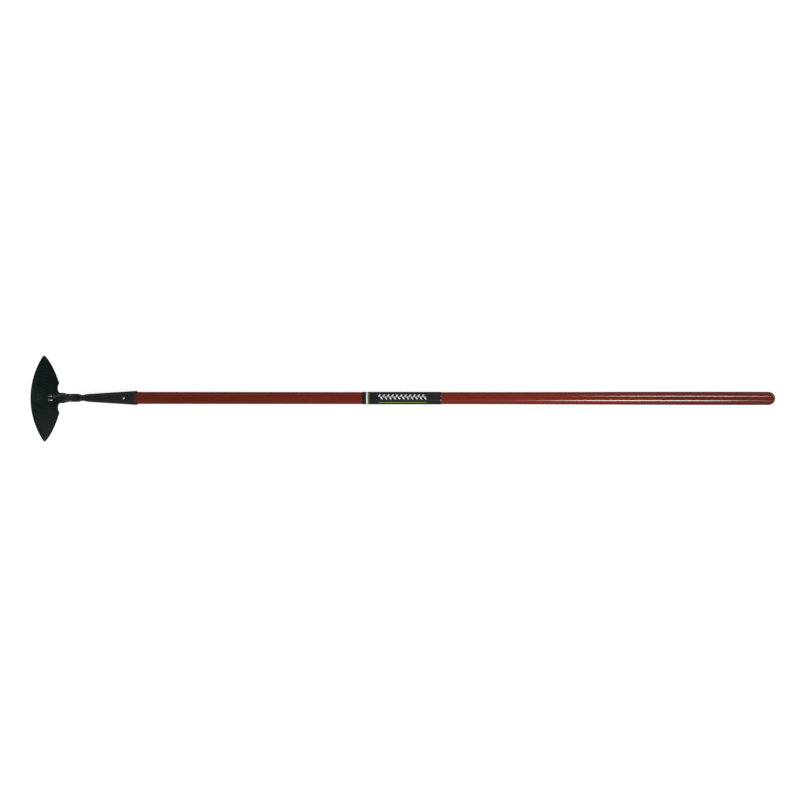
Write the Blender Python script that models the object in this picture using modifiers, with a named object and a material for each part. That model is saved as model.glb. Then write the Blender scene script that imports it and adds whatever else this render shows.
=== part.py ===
"""Draw hoe: a dished steel blade on a short swan neck, and a rolled socket riveted to a long wooden handle.

The hoe lies with its blade pointing up. The handle's axis runs along X, the blade is at the -X end, and
the origin is on the ground under the middle of the whole tool. Sizes are in metres and angles in degrees.
"""

import math

import bmesh
import bpy
import numpy as np
from mathutils import Matrix, Vector

# Clearance left between two pieces that touch
GAP = 0.0003

# Handle, with its lengths measured from the socket's mouth
SHAFT_RADIUS = 0.01275
GRIP_RADIUS = 0.014
HANDLE_REACH = 1.3517
SWELL_START = 0.648
SWELL_END = 1.248
TENON_LENGTH = 0.088
BUTT_FLAT_RADIUS = 0.0035

# Socket: a cone, then a rounded shoulder down to the neck
MOUTH_RADIUS = 0.015
SOCKET_WALL = 0.00195
CONE_LENGTH = 0.0986
CONE_END_RADIUS = 0.00875
SHOULDER_LENGTH = 0.013
SHOULDER_END_RADIUS = 0.00645
SEAM_WIDTH = 0.0012

# Rivet and spare nail hole, measured from the socket's mouth
RIVET_FROM_MOUTH = 0.0253
SHANK_RADIUS = 0.0022
HEAD_RADIUS = 0.0033
HEAD_HEIGHT = 0.0017
TAIL_RADIUS = 0.003
TAIL_HEIGHT = 0.0009
SPARE_HOLE_FROM_MOUTH = 0.0125
SPARE_HOLE_RADIUS = 0.00225

# Blade: the root is the middle of the upper edge, on the back face
ROOT_FROM_MOUTH = 0.1596
ROOT_ABOVE_AXIS = 0.013
BLADE_LEAN = 10
BLADE_HEIGHT = 0.104
HALF_WIDTH = 0.087
PLATE = 0.0025
CUTTING_EDGE_THICKNESS = 0.0006
DISH_RADIUS = 0.38
TIP_TOP = 0.0719
TIP_BOTTOM = 0.0748
UPPER_EDGE_BULGE = 0.0058
NOTCH_MIDDLE = 0.0214
NOTCH_RADIUS = 0.0104
SHOULDER_ACROSS = 0.0303
BEVEL_WIDTH = 0.012

# Neck: a flat bar with a foot on the blade and a round tang in the socket
FOOT_LENGTH = 0.043
FOOT_ROOT_WIDTH = 0.0222
FOOT_TOE_WIDTH = 0.0145
FOOT_TOE_THICKNESS = 0.006
FOOT_GAP = 0.0005
NECK_WIDTH = 0.0172
NECK_THICKNESS = 0.008
NECK_RISE = 25
FLARE_LENGTH = 0.0035
ROUND_START = 0.034
ROUND_END = 0.047
ROUND_DIAMETER = 0.0127
TANG_RADIUS = 0.0045
TANG_LENGTH = 0.022

# Welds
BEAD_RADIUS = 0.0014
BEAD_START = 0.008
RING_WELD_WIDTH = 0.0024
RING_WELD_RADIUS = 0.0062

# Label sleeve, measured from the socket's mouth
LABEL_START = 0.4777
LABEL_LENGTH = 0.1664
LABEL_THICKNESS = 0.00025
LABEL_OPENING = 4

# Facets round each turned piece and round the neck's section
TURNED_STEPS = 32
NECK_SIDES = 16

# Places in the tool's own frame
LEAN = math.radians(BLADE_LEAN)
HEAD_REACH = ROOT_FROM_MOUTH + BLADE_HEIGHT * math.sin(LEAN)
MOUTH_X = (HEAD_REACH - HANDLE_REACH) / 2
AXIS_Z = MOUTH_RADIUS
SOCKET_END_X = MOUTH_X - CONE_LENGTH - SHOULDER_LENGTH
NECK_END_X = SOCKET_END_X - RING_WELD_WIDTH - 2 * GAP
RIVET_X = MOUTH_X - RIVET_FROM_MOUTH
ROOT = Vector((MOUTH_X - ROOT_FROM_MOUTH, 0, AXIS_Z + ROOT_ABOVE_AXIS))
DOWN_BLADE = Vector((-math.sin(LEAN), 0, math.cos(LEAN)))
OFF_BLADE = Vector((math.cos(LEAN), 0, math.sin(LEAN)))


def clear_scene():
    for obj in list(bpy.data.objects):
        bpy.data.objects.remove(obj, do_unlink=True)


def new_collection(name):
    collection = bpy.data.collections.new(name)
    bpy.context.scene.collection.children.link(collection)
    return collection


def new_material(name, color, roughness, metallic=0.0):
    material = bpy.data.materials.new(name)
    material.use_nodes = True
    shader = material.node_tree.nodes["Principled BSDF"]
    shader.inputs["Base Color"].default_value = (*color, 1)
    shader.inputs["Roughness"].default_value = roughness
    shader.inputs["Metallic"].default_value = metallic
    return material


def add_object(name, mesh, collection, material=None):
    obj = bpy.data.objects.new(name, mesh)
    collection.objects.link(obj)
    if material:
        mesh.materials.append(material)
    return obj


def finish_mesh(bm, name, sharp_angle=40):
    """Turns a bmesh into a smooth-shaded mesh whose corners stay sharp."""
    bmesh.ops.recalc_face_normals(bm, faces=bm.faces)
    mesh = bpy.data.meshes.new(name)
    bm.to_mesh(mesh)
    bm.free()
    mesh.shade_smooth()
    mesh.set_sharp_from_angle(angle=math.radians(sharp_angle))
    return mesh


def turned(name, profile, material, closed=False, angle=360):
    """A body turned about the handle's axis, from (x, radius) points that start at the +X end."""
    bm = bmesh.new()
    points = [bm.verts.new((radius, 0, x)) for x, radius in profile]
    for first, second in zip(points, points[1:]):
        bm.edges.new((first, second))
    if closed:
        bm.edges.new((points[-1], points[0]))
    mesh = bpy.data.meshes.new(name)
    bm.to_mesh(mesh)
    bm.free()
    obj = add_object(name, mesh, parts, material)
    obj.location.z = AXIS_Z
    obj.rotation_euler.y = math.radians(90)
    screw = obj.modifiers.new("turn", "SCREW")
    screw.angle = math.radians(angle)
    screw.steps = screw.render_steps = TURNED_STEPS
    screw.use_merge_vertices = True
    screw.merge_threshold = 0.00001
    screw.use_smooth_shade = True
    return obj


def cut(obj, cutter):
    boolean = obj.modifiers.new(cutter.name, "BOOLEAN")
    boolean.operation = "DIFFERENCE"
    boolean.object = cutter


def as_cutter(obj):
    obj.hide_render = True
    obj.display_type = "WIRE"
    return obj


def drill(name, x, radius, bottom, top):
    """A round cutter through the handle's axis, standing along Z."""
    bm = bmesh.new()
    middle = Matrix.Translation((x, 0, (bottom + top) / 2))
    bmesh.ops.create_cone(
        bm, segments=24, radius1=radius, radius2=radius, depth=top - bottom, cap_ends=True, matrix=middle
    )
    return as_cutter(add_object(name, finish_mesh(bm, name), cutters))


def blend(start, end, amount):
    return start + (end - start) * amount


def smooth_step(start, end, value):
    amount = min(max((value - start) / (end - start), 0), 1)
    return amount * amount * (3 - 2 * amount)


def arc_points(middle_x, middle_r, radius, first, last, count):
    """(x, r) points of an arc in a turned profile, by angle from the +X direction."""
    angles = np.radians(np.linspace(first, last, count))
    return [(middle_x + radius * math.cos(a), middle_r + radius * math.sin(a)) for a in angles]


# Blade


def upper_arc():
    """Middle and radius of the arc from the notch's shoulder to the tip, as distances across and down."""
    shoulder = Vector((SHOULDER_ACROSS, math.sqrt(NOTCH_RADIUS**2 - (SHOULDER_ACROSS - NOTCH_MIDDLE) ** 2)))
    tip = Vector((HALF_WIDTH, TIP_TOP))
    chord = tip - shoulder
    radius = (chord.length**2 / 4 + UPPER_EDGE_BULGE**2) / (2 * UPPER_EDGE_BULGE)
    inward = Vector((-chord.y, chord.x)).normalized()
    return (shoulder + tip) / 2 + inward * (radius - UPPER_EDGE_BULGE), radius


def upper_edge(across):
    """Distance down from the root line to the blade's upper edge."""
    across = abs(across)
    if across <= NOTCH_MIDDLE - NOTCH_RADIUS:
        return 0.0
    if across <= SHOULDER_ACROSS:
        return math.sqrt(max(NOTCH_RADIUS**2 - (across - NOTCH_MIDDLE) ** 2, 0))
    middle, radius = upper_arc()
    return middle.y - math.sqrt(radius**2 - (across - middle.x) ** 2)


def cutting_edge(across):
    """Distance down from the root line to the cutting edge, an arc through both tips."""
    drop = BLADE_HEIGHT - TIP_BOTTOM
    radius = (HALF_WIDTH**2 + drop**2) / (2 * drop)
    return BLADE_HEIGHT - radius + math.sqrt(radius**2 - across**2)


def blade_point(across, down, off=0.0):
    """A point on the blade's dished back face, or a distance off it towards the handle."""
    point = ROOT + DOWN_BLADE * down + OFF_BLADE * (across**2 / (2 * DISH_RADIUS) + off)
    point.y = across
    return point


def blade_columns():
    """Distances across the blade, from tip to tip, closer together round the notches."""
    shoulder_angle = math.acos((NOTCH_MIDDLE - SHOULDER_ACROSS) / NOTCH_RADIUS)
    root = [NOTCH_MIDDLE - NOTCH_RADIUS - 0.0001]
    notch = [NOTCH_MIDDLE - NOTCH_RADIUS * math.cos(a) for a in np.linspace(0, shoulder_angle, 9)]
    upper = list(np.linspace(SHOULDER_ACROSS, HALF_WIDTH, 13))[1:]
    half = root + notch + upper
    return [-across for across in reversed(half)] + [0.0] + half


def make_blade(material):
    columns = blade_columns()
    rows = 7
    bm = bmesh.new()
    bmesh.ops.create_grid(bm, x_segments=len(columns) - 1, y_segments=rows, size=1)
    thin = []
    for vert in bm.verts:
        across = columns[round((vert.co.x + 1) / 2 * (len(columns) - 1))]
        row = round((vert.co.y + 1) / 2 * rows)
        top, bottom = upper_edge(across), cutting_edge(across)
        bevel_line = bottom - min(BEVEL_WIDTH, (bottom - top) / 2)
        if row == 0:
            thin.append(vert.index)
        down = bottom if row == 0 else blend(bevel_line, top, (row - 1) / (rows - 1))
        vert.co = blade_point(across, down)
    mesh = bpy.data.meshes.new("blade")
    bm.to_mesh(mesh)
    bm.free()
    obj = add_object("blade", mesh, parts, material)
    body = obj.vertex_groups.new(name="body")
    body.add(range(len(mesh.vertices)), 1.0, "REPLACE")
    body.add(thin, 0.0, "REPLACE")
    solidify = obj.modifiers.new("plate", "SOLIDIFY")
    solidify.thickness = PLATE
    solidify.offset = 1 if mesh.polygons[0].normal.dot(OFF_BLADE) > 0 else -1
    solidify.vertex_group = "body"
    solidify.thickness_vertex_group = CUTTING_EDGE_THICKNESS / PLATE
    return obj


# Neck


def toe_rounding(down):
    """1 along the foot, falling as a quarter circle over its domed toe."""
    past = max(down - (FOOT_LENGTH - FOOT_TOE_WIDTH / 2), 0) / (FOOT_TOE_WIDTH / 2)
    return math.sqrt(max(1 - past**2, 0.04))


def foot_width(down):
    """Width of the neck's foot, which tapers down the blade to its toe."""
    return blend(FOOT_ROOT_WIDTH, FOOT_TOE_WIDTH, down / FOOT_LENGTH) * toe_rounding(down)


def section(center, facing, width, thickness, front, back):
    """A ring of points. front and back set how square each half is, from 0 for square to 1 for round."""
    ring = []
    for angle in np.linspace(0, 2 * math.pi, NECK_SIDES, endpoint=False):
        power = front if math.sin(angle) >= 0 else back
        side = math.copysign(abs(math.cos(angle)) ** power, math.cos(angle))
        depth = math.copysign(abs(math.sin(angle)) ** power, math.sin(angle))
        point = center + facing * (depth * thickness / 2)
        point.y += side * width / 2
        ring.append(point)
    return ring


def foot_sections():
    """Sections from the toe up to the blade's root, flat at the back where they lie on the blade."""
    rings = []
    toe_start = FOOT_LENGTH - FOOT_TOE_WIDTH / 2
    toe = [toe_start + FOOT_TOE_WIDTH / 2 * math.sin(a) for a in np.radians((80, 64, 45, 24, 0))]
    for down in toe + [0.027, 0.018, 0.009]:
        thickness = blend(NECK_THICKNESS, FOOT_TOE_THICKNESS, down / FOOT_LENGTH) * toe_rounding(down)
        center = blade_point(0, down, PLATE + FOOT_GAP + thickness / 2)
        rings.append(section(center, OFF_BLADE, foot_width(down), thickness, 0.9, 0.3))
    return rings


def bend_radii(start):
    """Radii of the two bends that bring the neck from the blade's root on to the handle's axis."""
    rise = math.radians(NECK_RISE)
    turns = [
        [math.sin(rise) + math.cos(LEAN), math.sin(rise)],
        [math.sin(LEAN) - math.cos(rise), 1 - math.cos(rise)],
    ]
    return np.linalg.solve(turns, [NECK_END_X - start.x, AXIS_Z - start.z])


def bend_sections():
    """Sections through the swan neck, going from a flat bar to a round one."""
    point = blade_point(0, 0, PLATE + FOOT_GAP + NECK_THICKNESS / 2)
    first, second = bend_radii(point)
    heading = LEAN - math.radians(90)
    rise = math.radians(NECK_RISE)
    steps = [(first, (rise - heading) / 15)] * 15 + [(second, -rise / 6)] * 6
    rings = []
    travelled = 0.0
    for radius, turn in [(0.0, 0.0)] + steps:
        step = radius * abs(turn)
        middle = heading + turn / 2
        point = point + Vector((math.cos(middle), 0, math.sin(middle))) * step
        heading += turn
        travelled += step
        rounding = smooth_step(ROUND_START, ROUND_END, travelled)
        flare = (FOOT_ROOT_WIDTH - NECK_WIDTH) * math.exp(-travelled / FLARE_LENGTH)
        width = blend(NECK_WIDTH + flare, ROUND_DIAMETER, rounding)
        thickness = blend(NECK_THICKNESS, ROUND_DIAMETER, rounding)
        square = blend(0.55, 1, rounding)
        facing = Vector((-math.sin(heading), 0, math.cos(heading)))
        rings.append(section(point, facing, width, thickness, square, square))
    return rings


def tang_sections():
    up = Vector((0, 0, 1))
    diameter = 2 * TANG_RADIUS
    ends = [Vector((x, 0, AXIS_Z)) for x in (NECK_END_X, NECK_END_X + TANG_LENGTH)]
    return [section(center, up, diameter, diameter, 1, 1) for center in ends]


def make_neck(material):
    bm = bmesh.new()
    sections = foot_sections() + bend_sections() + tang_sections()
    rings = [[bm.verts.new(point) for point in ring] for ring in sections]
    for near, far in zip(rings, rings[1:]):
        for i in range(NECK_SIDES):
            j = (i + 1) % NECK_SIDES
            bm.faces.new((near[i], near[j], far[j], far[i]))
    bm.faces.new(rings[0])
    bm.faces.new(rings[-1])
    return add_object("neck", finish_mesh(bm, "neck"), parts, material)


# Welds


def make_blade_weld(name, side, material):
    """A bead in the corner between the blade and one side of the neck's foot, round to its toe."""
    off = PLATE + GAP + BEAD_RADIUS
    beside = GAP + BEAD_RADIUS
    toe_middle = FOOT_LENGTH - FOOT_TOE_WIDTH / 2
    run = [(foot_width(down) / 2 + beside, down) for down in np.linspace(BEAD_START, toe_middle, 8)]
    reach = run[-1][0]
    for angle in np.radians(np.linspace(15, 70, 5)):
        run.append((reach * math.cos(angle), toe_middle + reach * 1.08 * math.sin(angle)))
    curve = bpy.data.curves.new(name, "CURVE")
    curve.dimensions = "3D"
    curve.bevel_depth = BEAD_RADIUS
    curve.bevel_resolution = 2
    curve.use_fill_caps = True
    line = curve.splines.new("POLY")
    line.points.add(len(run) - 1)
    for point, (across, down) in zip(line.points, run):
        point.co = (*blade_point(side * across, down, off), 1)
    return add_object(name, curve, parts, material)


def make_ring_weld(material):
    """The ring of weld metal between the neck and the socket, dressed to a shallow hollow."""
    start = SOCKET_END_X - GAP
    end = start - RING_WELD_WIDTH
    inner = TANG_RADIUS + GAP
    profile = [
        (start, inner),
        (start, RING_WELD_RADIUS),
        ((start + end) / 2, RING_WELD_RADIUS - 0.0001),
        (end, RING_WELD_RADIUS),
        (end, inner),
    ]
    return turned("neck_socket_weld", profile, material, closed=True)


# Socket, rivet, handle and label


def shoulder_radius(amount):
    """Outer radius along the socket's shoulder, from its neck end at 0 to the cone at 1."""
    growth = math.sin(amount * math.pi / 2) ** 0.8
    return blend(SHOULDER_END_RADIUS, CONE_END_RADIUS, growth)


def make_socket(material):
    cone_x = MOUTH_X - CONE_LENGTH
    outer = [(MOUTH_X, MOUTH_RADIUS), (cone_x, CONE_END_RADIUS)]
    outer += [(blend(cone_x, SOCKET_END_X, 1 - a), shoulder_radius(a)) for a in (0.8, 0.6, 0.4, 0.2, 0.0)]
    bore = TANG_RADIUS + GAP
    inner = [(SOCKET_END_X, bore), (cone_x - 0.006, bore), (cone_x, CONE_END_RADIUS - SOCKET_WALL)]
    inner.append((MOUTH_X, MOUTH_RADIUS - SOCKET_WALL))
    obj = turned("socket", outer + inner, material, closed=True)
    rivet_hole = drill("rivet_hole", RIVET_X, SHANK_RADIUS + GAP, -0.01, 0.04)
    spare_hole = drill("spare_hole", MOUTH_X - SPARE_HOLE_FROM_MOUTH, SPARE_HOLE_RADIUS, AXIS_Z, 0.04)
    bm = bmesh.new()
    bmesh.ops.create_cube(bm, size=1)
    slot = (2 * (CONE_LENGTH + SHOULDER_LENGTH), SEAM_WIDTH, AXIS_Z + 0.01)
    bmesh.ops.scale(bm, vec=slot, verts=bm.verts)
    bmesh.ops.translate(bm, vec=(MOUTH_X - slot[0] / 4, 0, AXIS_Z - slot[2] / 2 - 0.001), verts=bm.verts)
    seam = as_cutter(add_object("seam_slot", finish_mesh(bm, "seam_slot"), cutters))
    for cutter in (rivet_hole, spare_hole, seam):
        cut(obj, cutter)
    return obj


def make_handle(material):
    butt_x = MOUTH_X + HANDLE_REACH
    flat_angle = math.degrees(math.asin(BUTT_FLAT_RADIUS / GRIP_RADIUS))
    dome_x = butt_x - GRIP_RADIUS * math.cos(math.radians(flat_angle))
    profile = [(butt_x, 0.0)] + arc_points(dome_x, 0, GRIP_RADIUS, flat_angle, 90, 8)
    for amount in np.linspace(0, 1, 7):
        x = MOUTH_X + blend(SWELL_END, SWELL_START, amount)
        profile.append((x, blend(GRIP_RADIUS, SHAFT_RADIUS, smooth_step(0, 1, amount))))
    slope = (MOUTH_RADIUS - CONE_END_RADIUS) / CONE_LENGTH
    tenon_end = SHAFT_RADIUS - slope * TENON_LENGTH
    profile += [(MOUTH_X, SHAFT_RADIUS), (MOUTH_X - TENON_LENGTH, tenon_end), (MOUTH_X - TENON_LENGTH, 0.0)]
    obj = turned("handle", profile, material)
    cut(obj, drill("handle_hole", RIVET_X, SHANK_RADIUS + GAP, -0.01, 0.04))
    return obj


def make_rivet(material):
    """A rivet standing along Z, with a domed head on the blade's side and a flatter peened tail."""
    slope = (MOUTH_RADIUS - CONE_END_RADIUS) / CONE_LENGTH
    seat = MOUTH_RADIUS - slope * (RIVET_FROM_MOUTH - HEAD_RADIUS) + GAP
    angles = np.radians(np.linspace(90, 0, 6))
    head = [(HEAD_RADIUS * math.cos(a), seat + HEAD_HEIGHT * math.sin(a)) for a in angles]
    tail = [(TAIL_RADIUS * math.cos(a), -seat - TAIL_HEIGHT * math.sin(a)) for a in reversed(angles)]
    profile = head + [(SHANK_RADIUS, seat), (SHANK_RADIUS, -seat)] + tail
    obj = turned("rivet", [(height, radius) for radius, height in profile], material)
    obj.rotation_euler.y = 0
    obj.location = (RIVET_X, 0, AXIS_Z)
    obj.modifiers["turn"].steps = obj.modifiers["turn"].render_steps = 20
    return obj


def make_label(material):
    start = MOUTH_X + LABEL_START
    radius = SHAFT_RADIUS + GAP
    profile = [(start + LABEL_LENGTH, radius), (start, radius)]
    obj = turned("label", profile, material, angle=360 - LABEL_OPENING)
    obj.modifiers["turn"].use_merge_vertices = False
    solidify = obj.modifiers.new("sleeve", "SOLIDIFY")
    solidify.thickness = LABEL_THICKNESS
    solidify.offset = 1
    return obj


clear_scene()
parts = new_collection("draw_hoe")
cutters = new_collection("cutters")

steel = new_material("dark_green_paint", (0.012, 0.018, 0.017), 0.35)
neck_steel = new_material("dark_neck_paint", (0.014, 0.018, 0.018), 0.35)
socket_steel = new_material("dark_socket_paint", (0.013, 0.017, 0.016), 0.35)
weld_steel = new_material("painted_weld", (0.014, 0.018, 0.017), 0.45)
bright_steel = new_material("zinc_plate", (0.6, 0.6, 0.58), 0.3, 1.0)
wood = new_material("red_stained_wood", (0.15, 0.02, 0.012), 0.2)
print_film = new_material("black_label_film", (0.012, 0.014, 0.014), 0.4)

make_blade(steel)
make_neck(neck_steel)
make_blade_weld("blade_weld_left", 1, weld_steel)
make_blade_weld("blade_weld_right", -1, weld_steel)
make_ring_weld(weld_steel)
make_socket(socket_steel)
make_rivet(bright_steel)
make_handle(wood)
make_label(print_film)
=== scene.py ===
"""The draw hoe's looks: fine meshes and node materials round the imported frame, with its studio and camera."""

import math

import bmesh
import bpy
import numpy as np
from mathutils import Matrix, Vector, noise


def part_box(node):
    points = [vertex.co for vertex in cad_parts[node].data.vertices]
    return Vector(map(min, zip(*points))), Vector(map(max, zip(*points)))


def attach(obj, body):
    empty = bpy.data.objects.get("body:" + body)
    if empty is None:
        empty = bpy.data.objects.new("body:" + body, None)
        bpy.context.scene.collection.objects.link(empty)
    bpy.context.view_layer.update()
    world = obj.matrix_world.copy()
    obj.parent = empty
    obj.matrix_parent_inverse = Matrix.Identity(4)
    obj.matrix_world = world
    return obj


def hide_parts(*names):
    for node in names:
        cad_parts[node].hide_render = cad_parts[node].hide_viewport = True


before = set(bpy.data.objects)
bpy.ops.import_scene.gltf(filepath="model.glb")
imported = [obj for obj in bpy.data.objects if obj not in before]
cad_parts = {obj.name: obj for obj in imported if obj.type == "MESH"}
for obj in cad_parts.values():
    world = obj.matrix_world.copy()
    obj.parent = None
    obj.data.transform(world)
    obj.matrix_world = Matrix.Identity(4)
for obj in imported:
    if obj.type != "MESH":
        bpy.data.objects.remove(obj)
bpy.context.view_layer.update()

# Places and sizes read from the frame
SOCKET_LOW, SOCKET_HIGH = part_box("socket")
HANDLE_LOW, HANDLE_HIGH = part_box("handle")
LABEL_LOW, LABEL_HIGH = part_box("label")
RIVET_LOW, RIVET_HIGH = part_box("rivet")
RING_LOW, RING_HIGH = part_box("neck_socket_weld")
MOUTH_X = SOCKET_HIGH.x
MOUTH_RADIUS = (SOCKET_HIGH.y - SOCKET_LOW.y) / 2
AXIS_Z = MOUTH_RADIUS
BUTT_X = HANDLE_HIGH.x
GRIP_RADIUS = (HANDLE_HIGH.y - HANDLE_LOW.y) / 2
HALF_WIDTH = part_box("blade")[1].y
RIVET_X = (RIVET_LOW.x + RIVET_HIGH.x) / 2
HEAD_RADIUS = (RIVET_HIGH.x - RIVET_LOW.x) / 2
LABEL_RADIUS = (LABEL_HIGH.y - LABEL_LOW.y) / 2

# Sizes that the frame's boxes don't give
SHAFT_RADIUS = 0.01275
SWELL_START = 0.648
SWELL_END = 1.248
BUTT_FLAT_RADIUS = 0.0035
CONE_LENGTH = 0.0986
CONE_END_RADIUS = 0.00875
SHOULDER_END_RADIUS = 0.00645
SOCKET_WALL = 0.00195
SOCKET_LIP = 0.0007
SEAM_WIDTH = 0.0012
SPARE_HOLE_FROM_MOUTH = 0.0125
SPARE_HOLE_RADIUS = 0.00225
RIVET_HOLE_RADIUS = 0.0024
LABEL_THICKNESS = 0.00025
LABEL_OPENING = 4

# Blade: its root is the middle of the upper edge, on the back face
ROOT_FROM_MOUTH = 0.1596
ROOT_ABOVE_AXIS = 0.013
LEAN = math.radians(10)
BLADE_HEIGHT = 0.104
PLATE = 0.0025
CUTTING_EDGE_THICKNESS = 0.0006
EDGE_ROUND = 0.0005
DISH_RADIUS = 0.38
TIP_TOP = 0.0719
TIP_BOTTOM = 0.0748
UPPER_EDGE_BULGE = 0.0058
NOTCH_MIDDLE = 0.0214
NOTCH_RADIUS = 0.0104
SHOULDER_ACROSS = 0.0303
BEVEL_WIDTH = 0.012

# Neck: a foot on the blade, then a swan neck that goes from a flat bar to a round one
FOOT_LENGTH = 0.043
FOOT_ROOT_WIDTH = 0.0222
FOOT_TOE_WIDTH = 0.0145
FOOT_TOE_THICKNESS = 0.007
TOE_SLOPE = 0.0066
TOE_LIP = 0.0024
NECK_WIDTH = 0.0172
NECK_THICKNESS = 0.008
NECK_RISE = math.radians(25)
FLARE_END = 0.018
ROUND_START = 0.034
ROUND_END = 0.047
ROUND_DIAMETER = 0.0127
NECK_SIDES = 64

# Weld beads beside the foot
BEAD_START = 0.0055
BEAD_LEG = 0.0029
RIPPLE_PITCH = 0.0011

# The blade's own place and directions
ROOT = Vector((MOUTH_X - ROOT_FROM_MOUTH, 0, AXIS_Z + ROOT_ABOVE_AXIS))
DOWN_BLADE = Vector((-math.sin(LEAN), 0, math.cos(LEAN)))
OFF_BLADE = Vector((math.cos(LEAN), 0, math.sin(LEAN)))

# Studio, and a camera over the handle, rolled a little about the handle's axis
ROOM_RADIUS = 13
CAMERA_HEIGHT = 1.861
CAMERA_FROM_MOUTH = 0.5574
CAMERA_ASIDE = -0.004
TOOL_ROLL = math.radians(1.1)
FRAME_TURN = math.radians(0.045)
LENS = 39.5


def blend(start, end, amount):
    return start + (end - start) * amount


def smooth_step(start, end, value):
    amount = min(max((value - start) / (end - start), 0), 1)
    return amount * amount * (3 - 2 * amount)


def grid_faces(rows, columns, wrap=False, first=0):
    """Quads of a grid of points stored row by row."""
    faces = []
    for row in range(rows - 1):
        for column in range(columns if wrap else columns - 1):
            after = (column + 1) % columns
            near, far = first + row * columns, first + (row + 1) * columns
            faces.append((near + column, near + after, far + after, far + column))
    return faces


def make_mesh(name, points, faces, sharp_angle=35):
    """A closed mesh from points and faces, with its normals outward."""
    mesh = bpy.data.meshes.new(name)
    mesh.from_pydata([tuple(p) for p in points], [], faces)
    bm = bmesh.new()
    bm.from_mesh(mesh)
    bmesh.ops.remove_doubles(bm, verts=bm.verts, dist=0.000002)
    bmesh.ops.recalc_face_normals(bm, faces=bm.faces)
    bm.to_mesh(mesh)
    bm.free()
    mesh.shade_smooth()
    mesh.set_sharp_from_angle(angle=math.radians(sharp_angle))
    return mesh


def add_piece(name, mesh, node, material):
    """A finished piece that rides on the hoe's one body and stands for its CAD node."""
    obj = bpy.data.objects.new(name, mesh)
    bpy.context.scene.collection.objects.link(obj)
    mesh.materials.append(material)
    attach(obj, "root")
    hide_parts(node)
    return obj


def tube_mesh(name, rings, sharp_angle=35):
    """A closed body through rings of points, capped at both ends."""
    sides = len(rings[0])
    points = [point for ring in rings for point in ring]
    faces = grid_faces(len(rings), sides, wrap=True)
    faces.append(tuple(range(sides)))
    faces.append(tuple(range(len(points) - sides, len(points))))
    return make_mesh(name, points, faces, sharp_angle)


def turned_rings(profile, sides, gap_degrees=0.0):
    """Points of a profile of (x, radius) turned about the handle's axis, starting underneath."""
    half_gap = math.radians(gap_degrees) / 2
    if gap_degrees:
        angles = np.linspace(half_gap, 2 * math.pi - half_gap, sides)
    else:
        angles = np.linspace(0, 2 * math.pi, sides, endpoint=False)
    rings = []
    for x, radius in profile:
        rings.append([Vector((x, radius * math.sin(a), AXIS_Z - radius * math.cos(a))) for a in angles])
    return rings


def slit_shell(name, profile, gap_degrees, sharp_angle):
    """A turned shell with a closed profile, open along a slit underneath."""
    rings = turned_rings(profile, 121, gap_degrees)
    sides, count = len(rings[0]), len(rings)
    faces = []
    for row in range(count):
        near, far = row * sides, (row + 1) % count * sides
        faces += [(near + i, near + i + 1, far + i + 1, far + i) for i in range(sides - 1)]
    faces.append(tuple(row * sides for row in range(count)))
    faces.append(tuple(row * sides + sides - 1 for row in range(count)))
    return make_mesh(name, [point for ring in rings for point in ring], faces, sharp_angle)


# Materials, with their tones as linear colours

ENAMEL_DARK = (0.0018, 0.0057, 0.006)
ENAMEL_LIGHT = (0.0028, 0.0075, 0.0078)
# Painted light: the neck and ring weld are lighter past the blade's root, where they face up to the lamps
NECK_PAINTED_LIGHT = (0.0145, 0.0158, 0.0156)
WELD_PAINTED_LIGHT = (0.0125, 0.0155, 0.0145)
SOCKET_DARK = (0.0095, 0.0128, 0.0112)
SOCKET_LIGHT = (0.012, 0.0152, 0.0132)
WOOD_DARK = (0.086, 0.009, 0.0036)
# Painted light: the handle's tone where the lamps fall on its middle
WOOD_PAINTED_LIGHT = (0.152, 0.0145, 0.0036)
WOOD_RING = (0.06, 0.0065, 0.0035)
WOOD_STREAK = (0.2, 0.02, 0.007)
WOOD_PORE = (0.04, 0.004, 0.0025)
PRINT_PALE = (0.6, 0.6, 0.6)
PRINT_GREEN = (0.16, 0.3, 0.03)

# Print on the label, along it from its left end and round it from its top
PRINT_START = 0.034
STEM_AROUND = 0.003
STEM_HALF_WIDTH = 0.0003
LEAF_PITCH = 0.0092
LEAF_COUNT = 11
LEAF_LENGTH = 0.0078
LEAF_HALF_WIDTH = 0.0015
LEAF_LEAN = math.radians(52)
GREEN_LINE = (-0.0108, -0.0094)
PALE_RING = (0.0085, 0.0115)
GREEN_RING = (0.0135, 0.0145)


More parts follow.
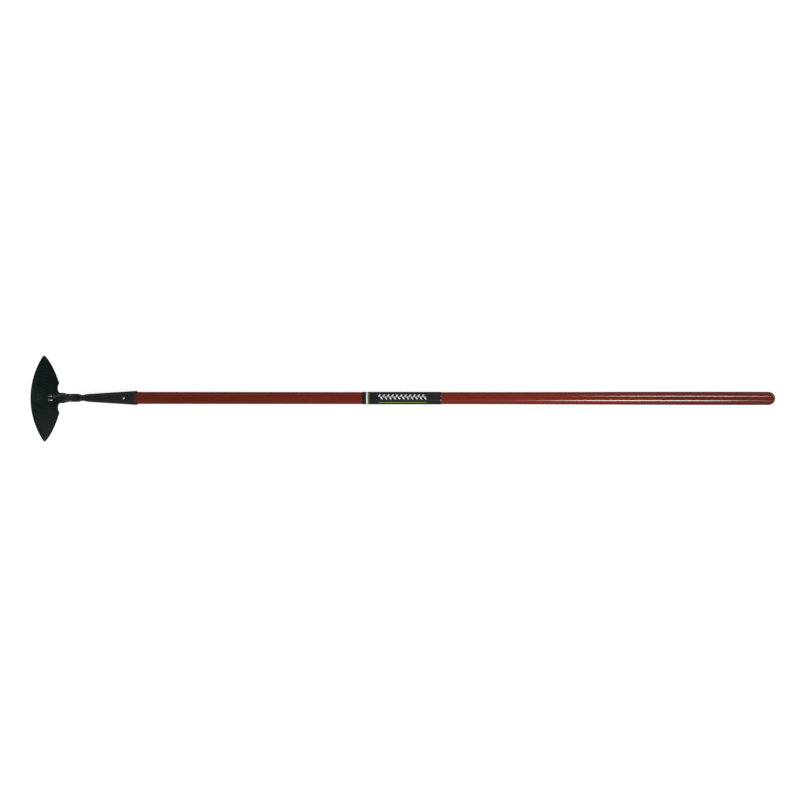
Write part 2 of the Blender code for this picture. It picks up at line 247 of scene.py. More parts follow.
class Shader:
    """A Principled material and short ways to add the nodes that feed it."""

    def __init__(self, name, roughness=0.4, metallic=0.0, coat=0.0, coat_roughness=0.1):
        self.material = bpy.data.materials.new(name)
        self.material.use_nodes = True
        self.tree = self.material.node_tree
        self.surface = self.tree.nodes["Principled BSDF"]
        self.set("Roughness", roughness)
        self.set("Metallic", metallic)
        self.set("Coat Weight", coat)
        self.set("Coat Roughness", coat_roughness)
        self.place = self.node("ShaderNodeTexCoord").outputs["Object"]

    def node(self, kind, **settings):
        made = self.tree.nodes.new(kind)
        for key, value in settings.items():
            setattr(made, key, value)
        return made

    def set(self, socket, value):
        self.surface.inputs[socket].default_value = value

    def feed(self, target, value):
        """Links a socket, or sets a constant."""
        if isinstance(value, bpy.types.NodeSocket):
            self.tree.links.new(value, target)
        else:
            target.default_value = value

    def stretch(self, scale, rotation=(0, 0, 0), location=(0, 0, 0)):
        mapping = self.node("ShaderNodeMapping")
        self.feed(mapping.inputs["Vector"], self.place)
        mapping.inputs["Scale"].default_value = scale
        mapping.inputs["Rotation"].default_value = rotation
        mapping.inputs["Location"].default_value = location
        return mapping.outputs["Vector"]

    def noise(self, scale, detail=3.0, rough=0.5, vector=None):
        made = self.node("ShaderNodeTexNoise")
        self.feed(made.inputs["Vector"], vector or self.place)
        made.inputs["Scale"].default_value = scale
        made.inputs["Detail"].default_value = detail
        made.inputs["Roughness"].default_value = rough
        return made.outputs["Fac"]

    def math(self, operation, first, second=0.0, third=0.0):
        made = self.node("ShaderNodeMath", operation=operation)
        for socket, value in zip(made.inputs, (first, second, third)):
            self.feed(socket, value)
        return made.outputs[0]

    def ramp(self, value, low, high, from_value=0.0, to_value=1.0):
        """Maps a range on to another, clamped."""
        made = self.node("ShaderNodeMapRange", clamp=True)
        for socket, number in zip(made.inputs, (value, low, high, from_value, to_value)):
            self.feed(socket, number)
        return made.outputs[0]

    def mix(self, amount, first, second):
        made = self.node("ShaderNodeMix", data_type="RGBA")
        self.feed(made.inputs["Factor"], amount)
        self.feed(made.inputs["A"], (*first, 1) if isinstance(first, tuple) else first)
        self.feed(made.inputs["B"], (*second, 1) if isinstance(second, tuple) else second)
        return made.outputs["Result"]

    def color(self, value):
        self.feed(self.surface.inputs["Base Color"], value)

    def bump(self, height, distance, strength=1.0, normal=None):
        made = self.node("ShaderNodeBump")
        made.inputs["Strength"].default_value = strength
        made.inputs["Distance"].default_value = distance
        self.feed(made.inputs["Height"], height)
        if normal:
            self.feed(made.inputs["Normal"], normal)
        self.feed(self.surface.inputs["Normal"], made.outputs["Normal"])
        return made.outputs["Normal"]


def paint(name, dark, light, roughness, coat=0.25, peel=0.00002, lumps=0.0, painted_lit_tone=None):
    """Green-black enamel: drifting tone, uneven gloss, orange peel, and lumps where the metal was forged.

    The last argument is painted light: a greyer tone past the blade's root, where the neck turns up towards the
    lamps.
    """
    shader = Shader(name, coat=coat, coat_roughness=0.12)
    drift = shader.noise(35, detail=2)
    tone = shader.mix(shader.ramp(drift, 0.35, 0.65), dark, light)
    if painted_lit_tone:
        # Painted light: greyer past the blade's root, where the neck turns up towards the lamps
        axes = shader.node("ShaderNodeSeparateXYZ")
        shader.feed(axes.inputs[0], shader.place)
        past_root = shader.ramp(axes.outputs["X"], ROOT.x + 0.004, ROOT.x + 0.016)
        tone = shader.mix(past_root, tone, painted_lit_tone)
    shader.color(tone)
    mottle = shader.noise(220, detail=4, rough=0.6)
    uneven = shader.ramp(mottle, 0.3, 0.7, roughness - 0.05, roughness + 0.06)
    shader.feed(shader.surface.inputs["Roughness"], uneven)
    normal = shader.bump(shader.noise(650, detail=2), peel)
    if lumps:
        shader.bump(shader.noise(140, detail=3), lumps, normal=normal)
    return shader.material


def stained_wood():
    """Red-brown stain under gloss lacquer, with a painted pool of light that makes it palest past the label,
    round the middle of the grip half. Growth rings and pores run along it.
    """
    shader = Shader("stained_wood", coat=0.9, coat_roughness=0.13)
    shader.set("Specular IOR Level", 0.15)
    tilted = shader.stretch((1, 1, 1), (0, math.radians(1.1), math.radians(0.8)), (0, 0.052, 0.03))
    rings = shader.node("ShaderNodeTexWave", wave_type="RINGS", rings_direction="X")
    shader.feed(rings.inputs["Vector"], tilted)
    rings.inputs["Scale"].default_value = 95
    rings.inputs["Distortion"].default_value = 3.5
    rings.inputs["Detail"].default_value = 2
    rings.inputs["Detail Scale"].default_value = 0.25
    figure = shader.ramp(rings.outputs["Fac"], 0.15, 0.95)
    streaks = shader.ramp(shader.noise(1, 4, 0.6, vector=shader.stretch((6, 420, 420))), 0.4, 0.68)
    pores = shader.ramp(shader.noise(1, 2, 0.5, vector=shader.stretch((28, 1500, 1500))), 0.58, 0.7)
    axes = shader.node("ShaderNodeSeparateXYZ")
    shader.feed(axes.inputs[0], shader.place)
    # Painted light: paler round the middle of the grip half, past the label, where the lamps light it most
    painted_light_rise = shader.ramp(axes.outputs["X"], -0.6, 0.2)
    pale = shader.math("MINIMUM", painted_light_rise, shader.ramp(axes.outputs["X"], 0.56, 0.3))
    drift = shader.ramp(shader.noise(1, 1, vector=shader.stretch((3.2, 10, 10))), 0.35, 0.65, -0.12, 0.12)
    tone = shader.mix(shader.math("ADD", pale, drift), WOOD_DARK, WOOD_PAINTED_LIGHT)
    tone = shader.mix(shader.math("MULTIPLY", figure, 0.3), tone, WOOD_RING)
    tone = shader.mix(shader.math("MULTIPLY", streaks, 0.25), tone, WOOD_STREAK)
    tone = shader.mix(shader.math("MULTIPLY", pores, 0.5), tone, WOOD_PORE)
    shader.color(tone)
    shader.feed(shader.surface.inputs["Roughness"], shader.ramp(streaks, 0, 1, 0.24, 0.34))
    sag = shader.noise(1, 2, vector=shader.stretch((9, 60, 60)))
    normal = shader.bump(sag, 0.0001, 0.4)
    shader.bump(pores, 0.00002, 0.4, normal)
    return shader.material


def zinc():
    """Bright zinc plate with a fine grain."""
    shader = Shader("zinc", metallic=1.0)
    grain = shader.noise(900, detail=3)
    shader.color(shader.mix(shader.ramp(grain, 0.3, 0.7), (0.72, 0.72, 0.7), (0.86, 0.86, 0.85)))
    shader.feed(shader.surface.inputs["Roughness"], shader.ramp(grain, 0.3, 0.7, 0.3, 0.42))
    shader.bump(shader.noise(500, detail=2), 0.00003)
    return shader.material


def label_film():
    """Black film printed with a pale leafy stem over a green line, and two thin rings near one end."""
    shader = Shader("label_film", roughness=0.3, coat=0.5, coat_roughness=0.08)
    axes = shader.node("ShaderNodeSeparateXYZ")
    shader.feed(axes.inputs[0], shader.place)
    along = shader.math("SUBTRACT", axes.outputs["X"], LABEL_LOW.x)
    height = shader.math("SUBTRACT", axes.outputs["Z"], AXIS_Z)
    around = shader.math("MULTIPLY", shader.math("ARCTAN2", axes.outputs["Y"], height), LABEL_RADIUS)

    def band(value, low, high, soft=0.00012):
        rising = shader.ramp(value, low - soft, low + soft)
        falling = shader.ramp(value, high - soft, high + soft, 1.0, 0.0)
        return shader.math("MULTIPLY", rising, falling)

    # Leaves lean out on both sides of the stem, half a pitch apart
    from_stem = shader.math("SUBTRACT", around, STEM_AROUND)
    half_turn = shader.math("MULTIPLY", shader.math("LESS_THAN", from_stem, 0.0), 0.5)
    past_start = shader.math("DIVIDE", shader.math("SUBTRACT", along, PRINT_START), LEAF_PITCH)
    count = shader.math("ADD", past_start, half_turn)
    past_node = shader.math("MULTIPLY", shader.math("FRACT", count), LEAF_PITCH)
    out = shader.math("ABSOLUTE", from_stem)
    cosine, sine = math.cos(LEAF_LEAN), math.sin(LEAF_LEAN)
    up_leaf = shader.math("MULTIPLY_ADD", past_node, cosine, shader.math("MULTIPLY", out, sine))
    off_leaf = shader.math("MULTIPLY_ADD", past_node, -sine, shader.math("MULTIPLY", out, cosine))
    from_rib = shader.math("ABSOLUTE", off_leaf)
    share = shader.math("DIVIDE", up_leaf, LEAF_LENGTH)
    hump = shader.math("MULTIPLY", share, shader.math("SUBTRACT", 1.0, share))
    inside = shader.math("SUBTRACT", shader.math("MULTIPLY", hump, 4 * LEAF_HALF_WIDTH), from_rib)
    off_rib = shader.ramp(from_rib, 0.0001, 0.0002)
    leaf = shader.math("MULTIPLY", shader.ramp(inside, -0.0001, 0.0001), off_rib)
    stem = band(out, -0.001, STEM_HALF_WIDTH)
    print_length = band(along, PRINT_START, PRINT_START + LEAF_PITCH * LEAF_COUNT)
    plant = shader.math("MULTIPLY", shader.math("MAXIMUM", leaf, stem), print_length)
    line = shader.math("MULTIPLY", band(around, *GREEN_LINE), print_length)

    black = shader.mix(shader.noise(90, 2), (0.0075, 0.0085, 0.0095), (0.0105, 0.0115, 0.0125))
    tone = shader.mix(shader.math("MAXIMUM", plant, band(along, *PALE_RING)), black, PRINT_PALE)
    tone = shader.mix(shader.math("MAXIMUM", line, band(along, *GREEN_RING)), tone, PRINT_GREEN)
    shader.color(tone)
    shader.bump(shader.noise(120, 2), 0.00012, 0.4)
    return shader.material


# Blade


def upper_arc():
    """Middle and radius of the arc from the notch's shoulder to the tip, as distances across and down."""
    shoulder = Vector((SHOULDER_ACROSS, math.sqrt(NOTCH_RADIUS**2 - (SHOULDER_ACROSS - NOTCH_MIDDLE) ** 2)))
    tip = Vector((HALF_WIDTH, TIP_TOP))
    chord = tip - shoulder
    radius = (chord.length**2 / 4 + UPPER_EDGE_BULGE**2) / (2 * UPPER_EDGE_BULGE)
    inward = Vector((-chord.y, chord.x)).normalized()
    return (shoulder + tip) / 2 + inward * (radius - UPPER_EDGE_BULGE), radius


UPPER_MIDDLE, UPPER_RADIUS = upper_arc()
TIP_RADIUS = (TIP_BOTTOM - TIP_TOP) / 2


def tip_closing(across):
    """How far each edge moves in to round the tip, 0 away from it and the tip's radius at the very end."""
    past = max(abs(across) - (HALF_WIDTH - TIP_RADIUS), 0) / TIP_RADIUS
    return TIP_RADIUS * (1 - math.sqrt(max(1 - past**2, 0)))


def upper_edge(across):
    """Distance down from the root line to the blade's upper edge."""
    across = abs(across)
    if across <= NOTCH_MIDDLE - NOTCH_RADIUS:
        return 0.0
    if across <= SHOULDER_ACROSS:
        return math.sqrt(max(NOTCH_RADIUS**2 - (across - NOTCH_MIDDLE) ** 2, 0))
    arc = UPPER_MIDDLE.y - math.sqrt(UPPER_RADIUS**2 - (across - UPPER_MIDDLE.x) ** 2)
    return arc + tip_closing(across)


def cutting_edge(across):
    """Distance down from the root line to the cutting edge, an arc through both tips."""
    drop = BLADE_HEIGHT - TIP_BOTTOM
    radius = (HALF_WIDTH**2 + drop**2) / (2 * drop)
    return BLADE_HEIGHT - radius + math.sqrt(radius**2 - across**2) - tip_closing(across)


def blade_point(across, down, off=0.0):
    """A point on the blade's dished back face, or a distance off it towards the handle."""
    point = ROOT + DOWN_BLADE * down + OFF_BLADE * (across**2 / (2 * DISH_RADIUS) + off)
    point.y = across
    return point


def blade_columns():
    """Distances across the blade, close together round the notches and at the tips."""
    inner = NOTCH_MIDDLE - NOTCH_RADIUS
    root = list(np.linspace(0.0006, inner - 0.0001, 12))
    last = math.acos((NOTCH_MIDDLE - SHOULDER_ACROSS) / NOTCH_RADIUS)
    notch = [NOTCH_MIDDLE - NOTCH_RADIUS * math.cos(a) for a in np.linspace(0, last, 30)]
    upper = list(np.linspace(SHOULDER_ACROSS, HALF_WIDTH - TIP_RADIUS, 60))[1:]
    tip = [HALF_WIDTH - TIP_RADIUS * (1 - math.sin(a)) for a in np.linspace(0, math.pi / 2, 9)][1:]
    half = root + notch + upper + tip
    return [-across for across in reversed(half)] + [0.0] + half


def edge_slope(edge, across):
    """Cosine of an edge's slope, which turns a distance down into a distance from the edge."""
    step = 0.0002
    low = min(abs(across) - step, HALF_WIDTH - 2 * step)
    rise = (edge(low + 2 * step) - edge(low)) / (2 * step)
    return 1 / math.sqrt(1 + min(rise**2, 9))


def rounding(distance, radius):
    """How far a face drops within a radius of an edge, as a quarter circle."""
    if distance >= radius:
        return 0.0
    return radius - math.sqrt(max(radius**2 - (radius - distance) ** 2, 0))


def blade_rows(top, bottom, top_slope, bottom_slope):
    """Distances down the blade in one column: close at both edges, with one row on the bevel's line."""
    near = [0, 0.08, 0.3, 0.6, 1.0]
    top_band = min(EDGE_ROUND / top_slope, (bottom - top) * 0.3)
    bottom_band = min(EDGE_ROUND / bottom_slope, (bottom - top) * 0.3)
    bevel_line = bottom - min(BEVEL_WIDTH / bottom_slope, (bottom - top) / 2)
    rows = [top + top_band * n for n in near]
    rows += list(np.linspace(top + top_band, bevel_line, 26))[1:]
    rows += list(np.linspace(bevel_line, bottom - bottom_band, 9))[1:]
    rows += [bottom - bottom_band * n for n in reversed(near)][1:]
    return rows, bevel_line


def make_blade(material):
    """Front and back faces on one grid, joined by a rim whose corners are rounded."""
    columns = blade_columns()
    front, back = [], []
    for across in columns:
        top, bottom = upper_edge(across), cutting_edge(across)
        top_slope, bottom_slope = edge_slope(upper_edge, across), edge_slope(cutting_edge, across)
        rows, bevel_line = blade_rows(top, bottom, top_slope, bottom_slope)
        for down in rows:
            ground = max(down - bevel_line, 0) / max(bottom - bevel_line, 1e-6)
            thickness = blend(PLATE, CUTTING_EDGE_THICKNESS, ground)
            from_top, from_bottom = (down - top) * top_slope, (bottom - down) * bottom_slope
            radius = min(EDGE_ROUND, thickness * 0.45)
            drop = max(rounding(from_top, radius), rounding(from_bottom, radius))
            front.append(blade_point(across, down, thickness - drop))
            back.append(blade_point(across, down, drop))
    count = len(rows)
    total = len(front)
    faces = grid_faces(len(columns), count) + grid_faces(len(columns), count, first=total)
    for i in range(len(columns) - 1):
        for row in (0, count - 1):
            near, far = i * count + row, (i + 1) * count + row
            faces.append((near, far, total + far, total + near))
    for column in (0, len(columns) - 1):
        for row in range(count - 1):
            near = column * count + row
            faces.append((near, near + 1, total + near + 1, total + near))
    mesh = make_mesh("blade_plate", front + back, faces, sharp_angle=50)
    return add_piece("blade_plate", mesh, "blade", material)


# Neck


def foot_width(down):
    """Width of the neck's foot, which tapers down the blade to a round toe."""
    past = max(down - (FOOT_LENGTH - FOOT_TOE_WIDTH / 2), 0) / (FOOT_TOE_WIDTH / 2)
    return blend(FOOT_ROOT_WIDTH, FOOT_TOE_WIDTH, down / FOOT_LENGTH) * math.sqrt(max(1 - past**2, 0))


def foot_thickness(down):
    """Thickness of the foot, which slopes down at the toe to a thin lip."""
    slope = smooth_step(FOOT_LENGTH - TOE_SLOPE, FOOT_LENGTH, down)
    return blend(blend(NECK_THICKNESS, FOOT_TOE_THICKNESS, down / FOOT_LENGTH), TOE_LIP, slope)


def section(center, facing, width, thickness, front, back):
    """A ring of points. front and back set how square each half is, from 0 for square to 1 for round."""
    ring = []
    for angle in np.linspace(0, 2 * math.pi, NECK_SIDES, endpoint=False):
        power = front if math.sin(angle) >= 0 else back
        side = math.copysign(abs(math.cos(angle)) ** power, math.cos(angle))
        depth = math.copysign(abs(math.sin(angle)) ** power, math.sin(angle))
        point = center + facing * (depth * thickness / 2)
        point.y += side * width / 2
        ring.append(point)
    return ring


def foot_sections():
    """Sections from the toe up to the blade's root, flat at the back where they lie on the blade.

    The front goes from flat at the root through round to a blunt ridge at the toe.
    """
    rings = []
    toe_start = FOOT_LENGTH - FOOT_TOE_WIDTH / 2
    toe = [toe_start + FOOT_TOE_WIDTH / 2 * math.sin(a) for a in np.linspace(1.5, 0, 32)]
    for down in toe + list(np.linspace(toe_start, 0.001, 30))[1:]:
        thickness = foot_thickness(down)
        center = blade_point(0, down, PLATE - 0.0002 + thickness / 2)
        square = blend(0.5, 1, smooth_step(0, 0.02, down)) + 0.2 * smooth_step(0.033, 0.038, down)
        rings.append(section(center, OFF_BLADE, foot_width(down), thickness, square, 0.3))
    return rings


def bend_sections():
    """Sections through the swan neck, going from a flat bar to a round one."""
    point = blade_point(0, 0, PLATE + NECK_THICKNESS / 2)
    end_x = RING_LOW.x + 0.0005
    turns = [
        [math.sin(NECK_RISE) + math.cos(LEAN), math.sin(NECK_RISE)],
        [math.sin(LEAN) - math.cos(NECK_RISE), 1 - math.cos(NECK_RISE)],
    ]
    first, second = np.linalg.solve(turns, [end_x - point.x, AXIS_Z - point.z])
    heading = LEAN - math.radians(90)
    steps = [(first, (NECK_RISE - heading) / 60)] * 60 + [(second, -NECK_RISE / 20)] * 20
    rings = []
    travelled = 0.0
    for radius, turn in [(0.0, 0.0)] + steps:
        step = radius * abs(turn)
        middle = heading + turn / 2
        point = point + Vector((math.cos(middle), 0, math.sin(middle))) * step
        heading += turn
        travelled += step
        rounding_off = smooth_step(ROUND_START, ROUND_END, travelled)
        bar_width = blend(FOOT_ROOT_WIDTH, NECK_WIDTH, smooth_step(0, FLARE_END, travelled))
        width = blend(bar_width, ROUND_DIAMETER, rounding_off)
        thickness = blend(NECK_THICKNESS, ROUND_DIAMETER, rounding_off)
        square = blend(0.5, 1, rounding_off)
        facing = Vector((-math.sin(heading), 0, math.cos(heading)))
        rings.append(section(point, facing, width, thickness, square, square))
    return rings


def make_neck(material):
    rings = foot_sections() + bend_sections()
    mesh = tube_mesh("neck_forging", rings)
    for vert in mesh.vertices:
        lump = noise.noise(vert.co * 110) * 0.00007
        vert.co += vert.normal * lump
    return add_piece("neck_forging", mesh, "neck", material)


# Welds


def bead_path(side):
    """Points across and down the blade along one side of the foot and round to the middle of its toe."""
    toe_middle = FOOT_LENGTH - FOOT_TOE_WIDTH / 2
    path = [(foot_width(down) / 2, down) for down in np.linspace(BEAD_START, toe_middle, 90)]
    reach = path[-1][0]
    turn = np.radians(np.linspace(2, 92, 64))
    path += [(reach * math.cos(a), toe_middle + reach * math.sin(a)) for a in turn]
    return [(side * across, down) for across, down in path]


def make_blade_weld(name, node, side, material):
    """A fillet of weld metal in the foot's corner, with ripples where the pool froze."""
    path = bead_path(side)
    rings = []
    travelled = 0.0
    for i, (across, down) in enumerate(path):
        before, after = path[max(i - 1, 0)], path[min(i + 1, len(path) - 1)]
        along = Vector((after[0] - before[0], after[1] - before[1])).normalized()
        outward = Vector((along.y, -along.x)) * side
        if i:
            travelled += math.hypot(across - before[0], down - before[1])
        round_toe = smooth_step(0.5, 0.7, i / (len(path) - 1))
        ripple = 1 + blend(0.1, 0.02, round_toe) * abs(math.sin(math.pi * travelled / RIPPLE_PITCH)) ** 0.6
        ends = min(1, 0.25 + travelled / 0.002)
        wander = 1 + 0.08 * noise.noise(Vector((travelled * 260, side * 7, 0))) * (1 - round_toe)
        size = BEAD_LEG * ripple * ends * wander * blend(1, 0.9, round_toe)
        ring = []
        for angle in np.radians(np.linspace(-12, 102, 15)):
            flat = 1 / (abs(math.cos(angle)) + abs(math.sin(angle)))
            reach = size * blend(1, flat, 0.75)
            spread, lift = reach * math.cos(angle) * 0.92, reach * math.sin(angle)
            lag = 0.0004 * math.sin(angle * 2)
            place = Vector((across, down)) + outward * (spread - 0.0004) - along * lag
            ring.append(blade_point(place.x, place.y, PLATE - 0.0001 + lift * 0.9))
        inside = Vector((across, down)) - outward * 0.0015
        ring.append(blade_point(inside.x, inside.y, PLATE + 0.0002))
        rings.append(ring)
    mesh = tube_mesh(name, rings, sharp_angle=60)
    return add_piece(name, mesh, node, material)


def make_ring_weld(material):
    """A narrow ring of weld metal, dressed to a shallow hollow between the neck and the socket."""
    rings = []
    outer = (RING_HIGH.y - RING_LOW.y) / 2
    middle = (RING_LOW.x + RING_HIGH.x) / 2
    half = (RING_HIGH.x - RING_LOW.x) / 2 + 0.0007
    for amount in np.linspace(-1, 1, 17):
        radius = outer + 0.00005 + 0.0001 * amount**2
        ring = turned_rings([(middle + half * amount, radius)], 96)[0]
        for point in ring:
            away = Vector((0, point.y, point.z - AXIS_Z)).normalized()
            point += away * (noise.noise(point * 600) * 0.00008)
        rings.append(ring)
    mesh = tube_mesh("neck_weld_ring", rings)
    return add_piece("neck_weld_ring", mesh, "neck_socket_weld", material)


# Socket and rivet


def shoulder_radius(amount):
    """Outer radius along the socket's shoulder, from its neck end at 0 to the cone at 1."""
    growth = math.sin(amount * math.pi / 2) ** 0.8
    return blend(SHOULDER_END_RADIUS, CONE_END_RADIUS, growth)


def socket_profile():
    """Outer face from the neck to the mouth, round the mouth's edge, and the inner face back again."""
    cone_x = MOUTH_X - CONE_LENGTH
    profile = [(blend(SOCKET_LOW.x, cone_x, a), shoulder_radius(a)) for a in np.linspace(0, 1, 22)]
    for x in np.linspace(cone_x, MOUTH_X - SOCKET_LIP, 70)[1:]:
        profile.append((x, blend(CONE_END_RADIUS, MOUTH_RADIUS, (x - cone_x) / CONE_LENGTH)))
    lip_x, lip_radius = MOUTH_X - SOCKET_LIP, profile[-1][1] - SOCKET_LIP
    for angle in np.radians(np.linspace(75, 0, 6)):
        profile.append((lip_x + SOCKET_LIP * math.cos(angle), lip_radius + SOCKET_LIP * math.sin(angle)))
    inner = MOUTH_RADIUS - SOCKET_WALL
    profile += [(MOUTH_X, inner + 0.0003), (MOUTH_X - 0.0004, inner)]
    slope = (MOUTH_RADIUS - CONE_END_RADIUS) / CONE_LENGTH
    profile += [(MOUTH_X - depth, inner - slope * depth) for depth in np.linspace(0.004, CONE_LENGTH, 24)]
    profile.append((SOCKET_LOW.x, SHOULDER_END_RADIUS - 0.0015))
    return profile


def bore(obj, x, radius, bottom, top):
    """Cuts a round hole through an object along Z, and leaves no cutter behind."""
    bm = bmesh.new()
    bmesh.ops.create_cone(bm, segments=48, radius1=radius, radius2=radius, depth=top - bottom, cap_ends=True)
    bmesh.ops.translate(bm, vec=(x, 0, (bottom + top) / 2), verts=bm.verts)
    mesh = bpy.data.meshes.new("drill")
    bm.to_mesh(mesh)
    bm.free()
    drill = bpy.data.objects.new("drill", mesh)
    bpy.context.scene.collection.objects.link(drill)
    cut = obj.modifiers.new("hole", "BOOLEAN")
    cut.operation = "DIFFERENCE"
    cut.object = drill
    apply_modifiers(obj)
    bpy.data.objects.remove(drill)


def apply_modifiers(obj):
    graph = bpy.context.evaluated_depsgraph_get()
    made = bpy.data.meshes.new_from_object(obj.evaluated_get(graph))
    obj.modifiers.clear()
    obj.data = made


def make_socket(material):
    """A rolled cone with an open butt seam underneath, a rivet hole and an empty nail hole."""
    seam_degrees = math.degrees(SEAM_WIDTH / MOUTH_RADIUS)
    mesh = slit_shell("socket_cone", socket_profile(), seam_degrees, sharp_angle=40)
    obj = add_piece("socket_cone", mesh, "socket", material)
    below, above = AXIS_Z - 2 * MOUTH_RADIUS, AXIS_Z + 2 * MOUTH_RADIUS
    bore(obj, RIVET_X, RIVET_HOLE_RADIUS, below, above)
    bore(obj, MOUTH_X - SPARE_HOLE_FROM_MOUTH, SPARE_HOLE_RADIUS, AXIS_Z, above)
    obj.data.shade_smooth()
    obj.data.set_sharp_from_angle(angle=math.radians(40))
    return obj


def make_rivet(material):
    """A domed head that sits down on the cone, a shank, and a flatter hammered tail."""
    seat = MOUTH_RADIUS - (MOUTH_RADIUS - CONE_END_RADIUS) / CONE_LENGTH * (MOUTH_X - RIVET_X)
    head_top = RIVET_HIGH.z - AXIS_Z
    tail_top = AXIS_Z - RIVET_LOW.z
    shank = RIVET_HOLE_RADIUS - 0.0001
    head_angles = np.linspace(1.56, 0, 16)
    tail_radius = HEAD_RADIUS * 0.9
    tail_angles = np.linspace(0, 1.56, 12)
    profile = [(HEAD_RADIUS * math.cos(a), blend(seat, head_top, math.sin(a))) for a in head_angles]
    profile += [(HEAD_RADIUS * 0.98, seat - 0.0004), (shank, seat - 0.0005), (shank, 0.5 * seat)]
    profile += [(shank, -seat + 0.0004), (tail_radius, -seat + 0.0003)]
    profile += [(tail_radius * math.cos(a), -blend(seat, tail_top, math.sin(a))) for a in tail_angles]
    rings = []
    for radius, height in profile:
        ring = []
        for angle in np.linspace(0, 2 * math.pi, 48, endpoint=False):
            point = Vector((RIVET_X + radius * math.cos(angle), radius * math.sin(angle), AXIS_Z + height))
            dent = noise.noise(point * 700) * 0.00008
            ring.append(point + Vector((0, 0, dent)))
        rings.append(ring)
    mesh = tube_mesh("rivet_body", rings)
    return add_piece("rivet_body", mesh, "rivet", material)


# Handle and label


def handle_radius(x):
    reach = x - MOUTH_X
    if reach < 0:
        return SHAFT_RADIUS + reach * (MOUTH_RADIUS - CONE_END_RADIUS) / CONE_LENGTH
    return blend(SHAFT_RADIUS, GRIP_RADIUS, smooth_step(SWELL_START, SWELL_END, reach))


def make_handle(material):
    """The turned handle, with the slight unevenness that sanding leaves along its length."""
    flat_angle = math.asin(BUTT_FLAT_RADIUS / GRIP_RADIUS)
    dome_x = BUTT_X - GRIP_RADIUS * math.cos(flat_angle)
    stations = list(np.linspace(HANDLE_LOW.x, MOUTH_X + 0.001, 12))
    stations += list(np.linspace(MOUTH_X + 0.004, dome_x, 260))
    profile = [(x, handle_radius(x)) for x in stations]
    dome = np.linspace(math.pi / 2, flat_angle, 24)[1:]
    profile += [(dome_x + GRIP_RADIUS * math.cos(a), GRIP_RADIUS * math.sin(a)) for a in dome]
    profile.append((BUTT_X, BUTT_FLAT_RADIUS * 0.6))
    rings = turned_rings(profile, 96)
    for (x, radius), ring in zip(profile, rings):
        fade = smooth_step(MOUTH_X, MOUTH_X + 0.03, x) * smooth_step(BUTT_X, BUTT_X - 0.04, x)
        for point in ring:
            away = Vector((0, point.y, point.z - AXIS_Z)).normalized()
            where = Vector((x * 9, away.y * 1.3, away.z * 1.3))
            point -= away * (abs(noise.noise(where)) * 0.00009 * fade)
    mesh = tube_mesh("handle_shaft", rings, sharp_angle=50)
    return add_piece("handle_shaft", mesh, "handle", material)


def make_label(material):
    """A thin sleeve whose long edges nearly meet under the handle."""
    outer, inner = LABEL_RADIUS, LABEL_RADIUS - LABEL_THICKNESS
    corner = LABEL_THICKNESS * 0.4
    stations = np.linspace(LABEL_LOW.x + corner, LABEL_HIGH.x - corner, 90)
    profile = [(LABEL_LOW.x, outer - corner)]
    profile += [(x, outer) for x in stations]
    profile += [(LABEL_HIGH.x, outer - corner), (LABEL_HIGH.x, inner), (LABEL_LOW.x, inner)]
    mesh = slit_shell("label_sleeve", profile, LABEL_OPENING, sharp_angle=50)
    return add_piece("label_sleeve", mesh, "label", material)


# Studio


def floor_paper():
    """Matt white paper with a faint mottle. Its own glow keeps the shadow on it pale."""
    shader = Shader("floor_paper", roughness=0.9)
    shader.color(shader.mix(shader.noise(3, 2), (0.35, 0.35, 0.35), (0.34, 0.34, 0.34)))
    shader.set("Specular IOR Level", 0.0)
    shader.set("Emission Color", (1, 1, 1, 1))
    shader.set("Emission Strength", 0.72)
    return shader.material


def dark_room():
    """What gloss reflects: a dim room, lighter at its sides, above past the blade, low on the far side of
    the grip, and at the end wall past the butt.
    """
    shader = Shader("dark_room", roughness=1.0)
    shader.color((0, 0, 0, 1))
    shader.set("Specular IOR Level", 0.0)
    axes = shader.node("ShaderNodeSeparateXYZ")
    shader.feed(axes.inputs[0], shader.place)
    x, y, z = (shader.math("DIVIDE", axes.outputs[name], ROOM_RADIUS) for name in "XYZ")
    overhead = shader.ramp(z, -0.1, 0.1)
    below = shader.math("SUBTRACT", 1.0, overhead)
    past_blade = shader.ramp(x, -0.45, -0.8, 0.0, 0.12)
    far_side = shader.math("MULTIPLY", shader.ramp(y, 0.0, 0.3, 0.0, 0.32), shader.ramp(x, 0.4, 0.55))
    sides = shader.ramp(shader.math("ABSOLUTE", y), 0.6, 0.9, 0.0, 0.1)
    low_band = shader.math("MULTIPLY", shader.ramp(z, 0.03, -0.03, 0.0, 1.2), shader.ramp(z, -0.35, -0.25))
    end_wall = shader.math("MULTIPLY", shader.ramp(x, 0.7, 0.85), low_band)
    glow = shader.math("MULTIPLY_ADD", overhead, past_blade, 0.02)
    glow = shader.math("MULTIPLY_ADD", below, far_side, glow)
    glow = shader.math("ADD", shader.math("ADD", glow, end_wall), sides)
    shader.feed(shader.surface.inputs["Emission Strength"], glow)
    shader.set("Emission Color", (0.96, 0.98, 1, 1))
    shader.material.cycles.emission_sampling = "NONE"
    return shader.material


def stage_piece(name, bm, material):
    mesh = bpy.data.meshes.new(name)
    bm.to_mesh(mesh)
    bm.free()
    mesh.materials.append(material)
    obj = bpy.data.objects.new(name, mesh)
    bpy.context.scene.collection.objects.link(obj)
    return obj


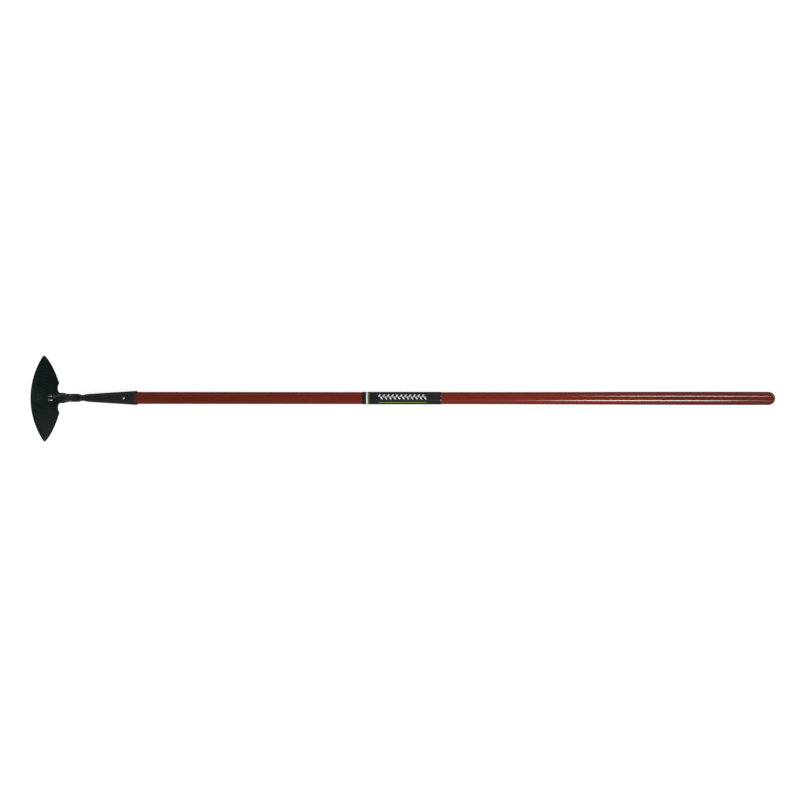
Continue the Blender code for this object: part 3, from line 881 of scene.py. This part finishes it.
def make_studio():
    """White light from all round, which gloss doesn't reflect: a dark room stands in for it there."""
    bm = bmesh.new()
    bmesh.ops.create_circle(bm, cap_ends=True, segments=96, radius=ROOM_RADIUS)
    floor = stage_piece("floor", bm, floor_paper())
    floor.visible_glossy = False
    bm = bmesh.new()
    bmesh.ops.create_uvsphere(bm, u_segments=64, v_segments=32, radius=ROOM_RADIUS)
    room = stage_piece("room", bm, dark_room())
    room.visible_camera = False
    room.visible_diffuse = False
    room.visible_shadow = False
    world = bpy.data.worlds.new("studio")
    world.use_nodes = True
    background = world.node_tree.nodes["Background"]
    background.inputs["Color"].default_value = (1, 1, 1, 1)
    background.inputs["Strength"].default_value = 1.0
    world.cycles_visibility.glossy = False
    bpy.context.scene.world = world
    bpy.context.scene.view_settings.view_transform = "Standard"


def softbox(name, place, target, size, power):
    """A long oval area light that faces its target."""
    light = bpy.data.lights.new(name, "AREA")
    light.shape = "ELLIPSE"
    light.size, light.size_y = size
    light.energy = power
    obj = bpy.data.objects.new(name, light)
    obj.location = place
    obj.rotation_euler = (Vector(target) - Vector(place)).to_track_quat("-Z", "Y").to_euler()
    obj.visible_camera = False
    bpy.context.scene.collection.objects.link(obj)


def make_lights():
    """Two softboxes, one on each side of the grip, which draw the two long highlights along it."""
    softbox("softbox_near", place=(1.19, -1.74, 2.02), target=(0.5, 0, 0), size=(1.0, 0.5), power=36)
    softbox("softbox_far", place=(1.47, 1.79, 2.26), target=(0.56, 0, 0), size=(0.98, 0.4), power=19)


def make_camera():
    camera = bpy.data.objects.new("camera", bpy.data.cameras.new("camera"))
    roll = Matrix.Rotation(-TOOL_ROLL, 4, "X")
    stand = Matrix.Translation((MOUTH_X + CAMERA_FROM_MOUTH, 0, AXIS_Z))
    held = Matrix.Translation((0, CAMERA_ASIDE, CAMERA_HEIGHT))
    camera.matrix_world = stand @ roll @ held @ Matrix.Rotation(FRAME_TURN, 4, "Z")
    camera.data.lens = LENS
    bpy.context.scene.collection.objects.link(camera)
    bpy.context.scene.camera = camera


blade_paint = paint("blade_paint", ENAMEL_DARK, ENAMEL_LIGHT, 0.24)
# The neck and weld paints carry painted light past the blade's root
neck_paint = paint("neck_paint", ENAMEL_DARK, ENAMEL_LIGHT, 0.26, coat=0.4, lumps=0.00003, painted_lit_tone=NECK_PAINTED_LIGHT)
weld_paint = paint("weld_paint", ENAMEL_DARK, ENAMEL_LIGHT, 0.22, coat=1.0, lumps=0.00002, painted_lit_tone=WELD_PAINTED_LIGHT)
socket_paint = paint("socket_paint", SOCKET_DARK, SOCKET_LIGHT, 0.28)

make_camera()
make_blade(blade_paint)
make_neck(neck_paint)
make_blade_weld("weld_bead_left", "blade_weld_left", 1, weld_paint)
make_blade_weld("weld_bead_right", "blade_weld_right", -1, weld_paint)
make_ring_weld(weld_paint)
make_socket(socket_paint)
make_rivet(zinc())
make_handle(stained_wood())
make_label(label_film())
make_studio()
make_lights()
